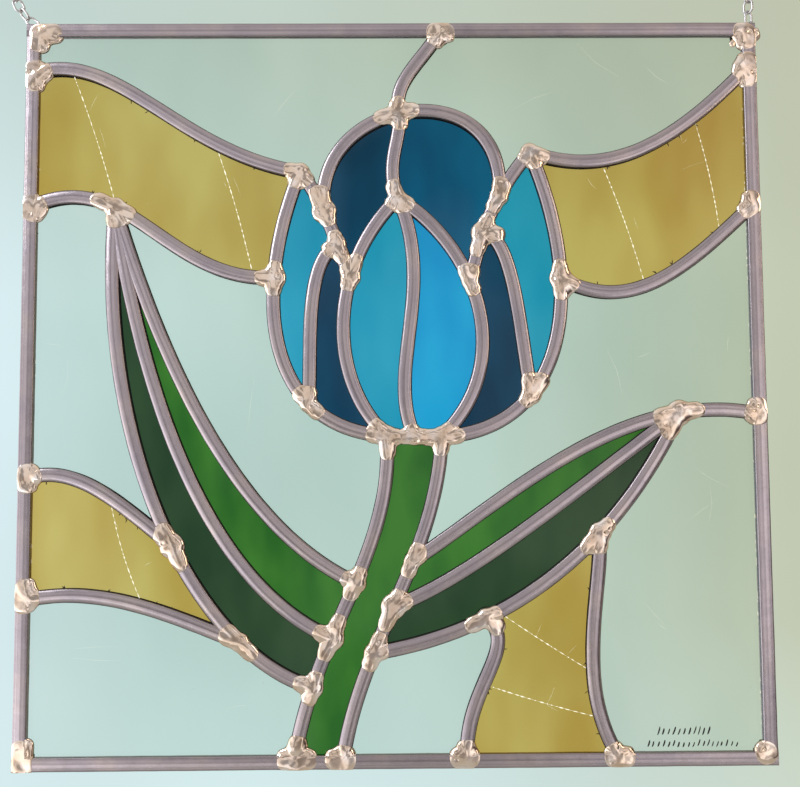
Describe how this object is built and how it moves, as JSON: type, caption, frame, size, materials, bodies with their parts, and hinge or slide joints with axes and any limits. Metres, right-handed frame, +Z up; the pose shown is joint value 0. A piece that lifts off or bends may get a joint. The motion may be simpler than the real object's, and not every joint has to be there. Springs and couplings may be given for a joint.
{
  "type": "stained glass window",
  "caption": "Square leaded glass panel with a blue bloom, green leaves and golden ribbons on a pale ground, hung by two short chains",
  "frame": {"origin": "the point inside the left hanging ring where it bears on its hook", "axes": "+Z up, +X to the right seen from the front, the front face looks towards -Y"},
  "size_m": [0.3244, 0.011, 0.3467],
  "materials": {
    "lead": "rolled lead, dull mauve grey with a soft lengthwise sheen",
    "solder": "tin-lead solder, smooth bright puddles with a warm cast",
    "cement": "black glazing cement along the cames",
    "chain": "bright plated wire links",
    "paint": "fired black line paint",
    "glass_clear": "pale clear sheet glass, see-through",
    "glass_yellow": "olive yellow sheet glass, see-through",
    "glass_turquoise": "turquoise sheet glass, see-through",
    "glass_cerulean": "cerulean blue sheet glass, see-through",
    "glass_deep_blue": "deep blue sheet glass, see-through",
    "glass_navy": "dark blue sheet glass, see-through",
    "glass_leaf_green": "leaf green sheet glass, see-through",
    "glass_dark_green": "dark green sheet glass, see-through"
  },
  "bodies": {
    "root": {"edge_top": "lead", "edge_bottom": "lead", "edge_left": "lead", "edge_right": "lead", "came_petal_left_outline": "lead", "came_petal_right_outline": "lead", "came_petal_front_left": "lead", "came_petal_front_right": "lead", "came_petal_front_midrib": "lead", "came_petal_left_inner": "lead", "came_petal_right_inner": "lead", "came_petal_back_arch": "lead", "came_petal_back_vein": "lead", "came_petal_left_fold": "lead", "came_petal_right_fold": "lead", "came_top_line": "lead", "came_stem_left": "lead", "came_stem_right": "lead", "came_ribbon_left_top": "lead", "came_ribbon_left_bottom": "lead", "came_ribbon_right_top": "lead", "came_ribbon_right_bottom": "lead", "came_leaf_left_outer": "lead", "came_leaf_left_inner": "lead", "came_leaf_left_midrib": "lead", "came_band_top": "lead", "came_band_bottom": "lead", "came_leaf_right_upper": "lead", "came_leaf_right_lower": "lead", "came_leaf_right_midrib": "lead", "came_blade_left": "lead", "came_blade_right": "lead", "glass_bloom_front_left": "glass_turquoise", "glass_bloom_front_right": "glass_cerulean", "glass_bloom_fold_left": "glass_navy", "glass_bloom_side_left": "glass_turquoise", "glass_bloom_fold_right": "glass_navy", "glass_bloom_side_right": "glass_turquoise", "glass_bloom_back_left": "glass_navy", "glass_bloom_back_right": "glass_deep_blue", "glass_stem": "glass_leaf_green", "glass_leaf_left_front": "glass_leaf_green", "glass_leaf_left_back": "glass_dark_green", "glass_leaf_right_front": "glass_leaf_green", "glass_leaf_right_back": "glass_dark_green", "glass_ribbon_left": "glass_yellow", "glass_ribbon_right": "glass_yellow", "glass_band_left": "glass_yellow", "glass_blade": "glass_yellow", "glass_ground_top_left": "glass_clear", "glass_ground_top_right": "glass_clear", "glass_ground_left": "glass_clear", "glass_ground_lower_left": "glass_clear", "glass_ground_mid_left": "glass_clear", "glass_ground_mid_right": "glass_clear", "glass_ground_bottom": "glass_clear", "glass_ground_lower_right": "glass_clear", "chain_left": "chain", "chain_right": "chain"}
  },
  "joints": []
}
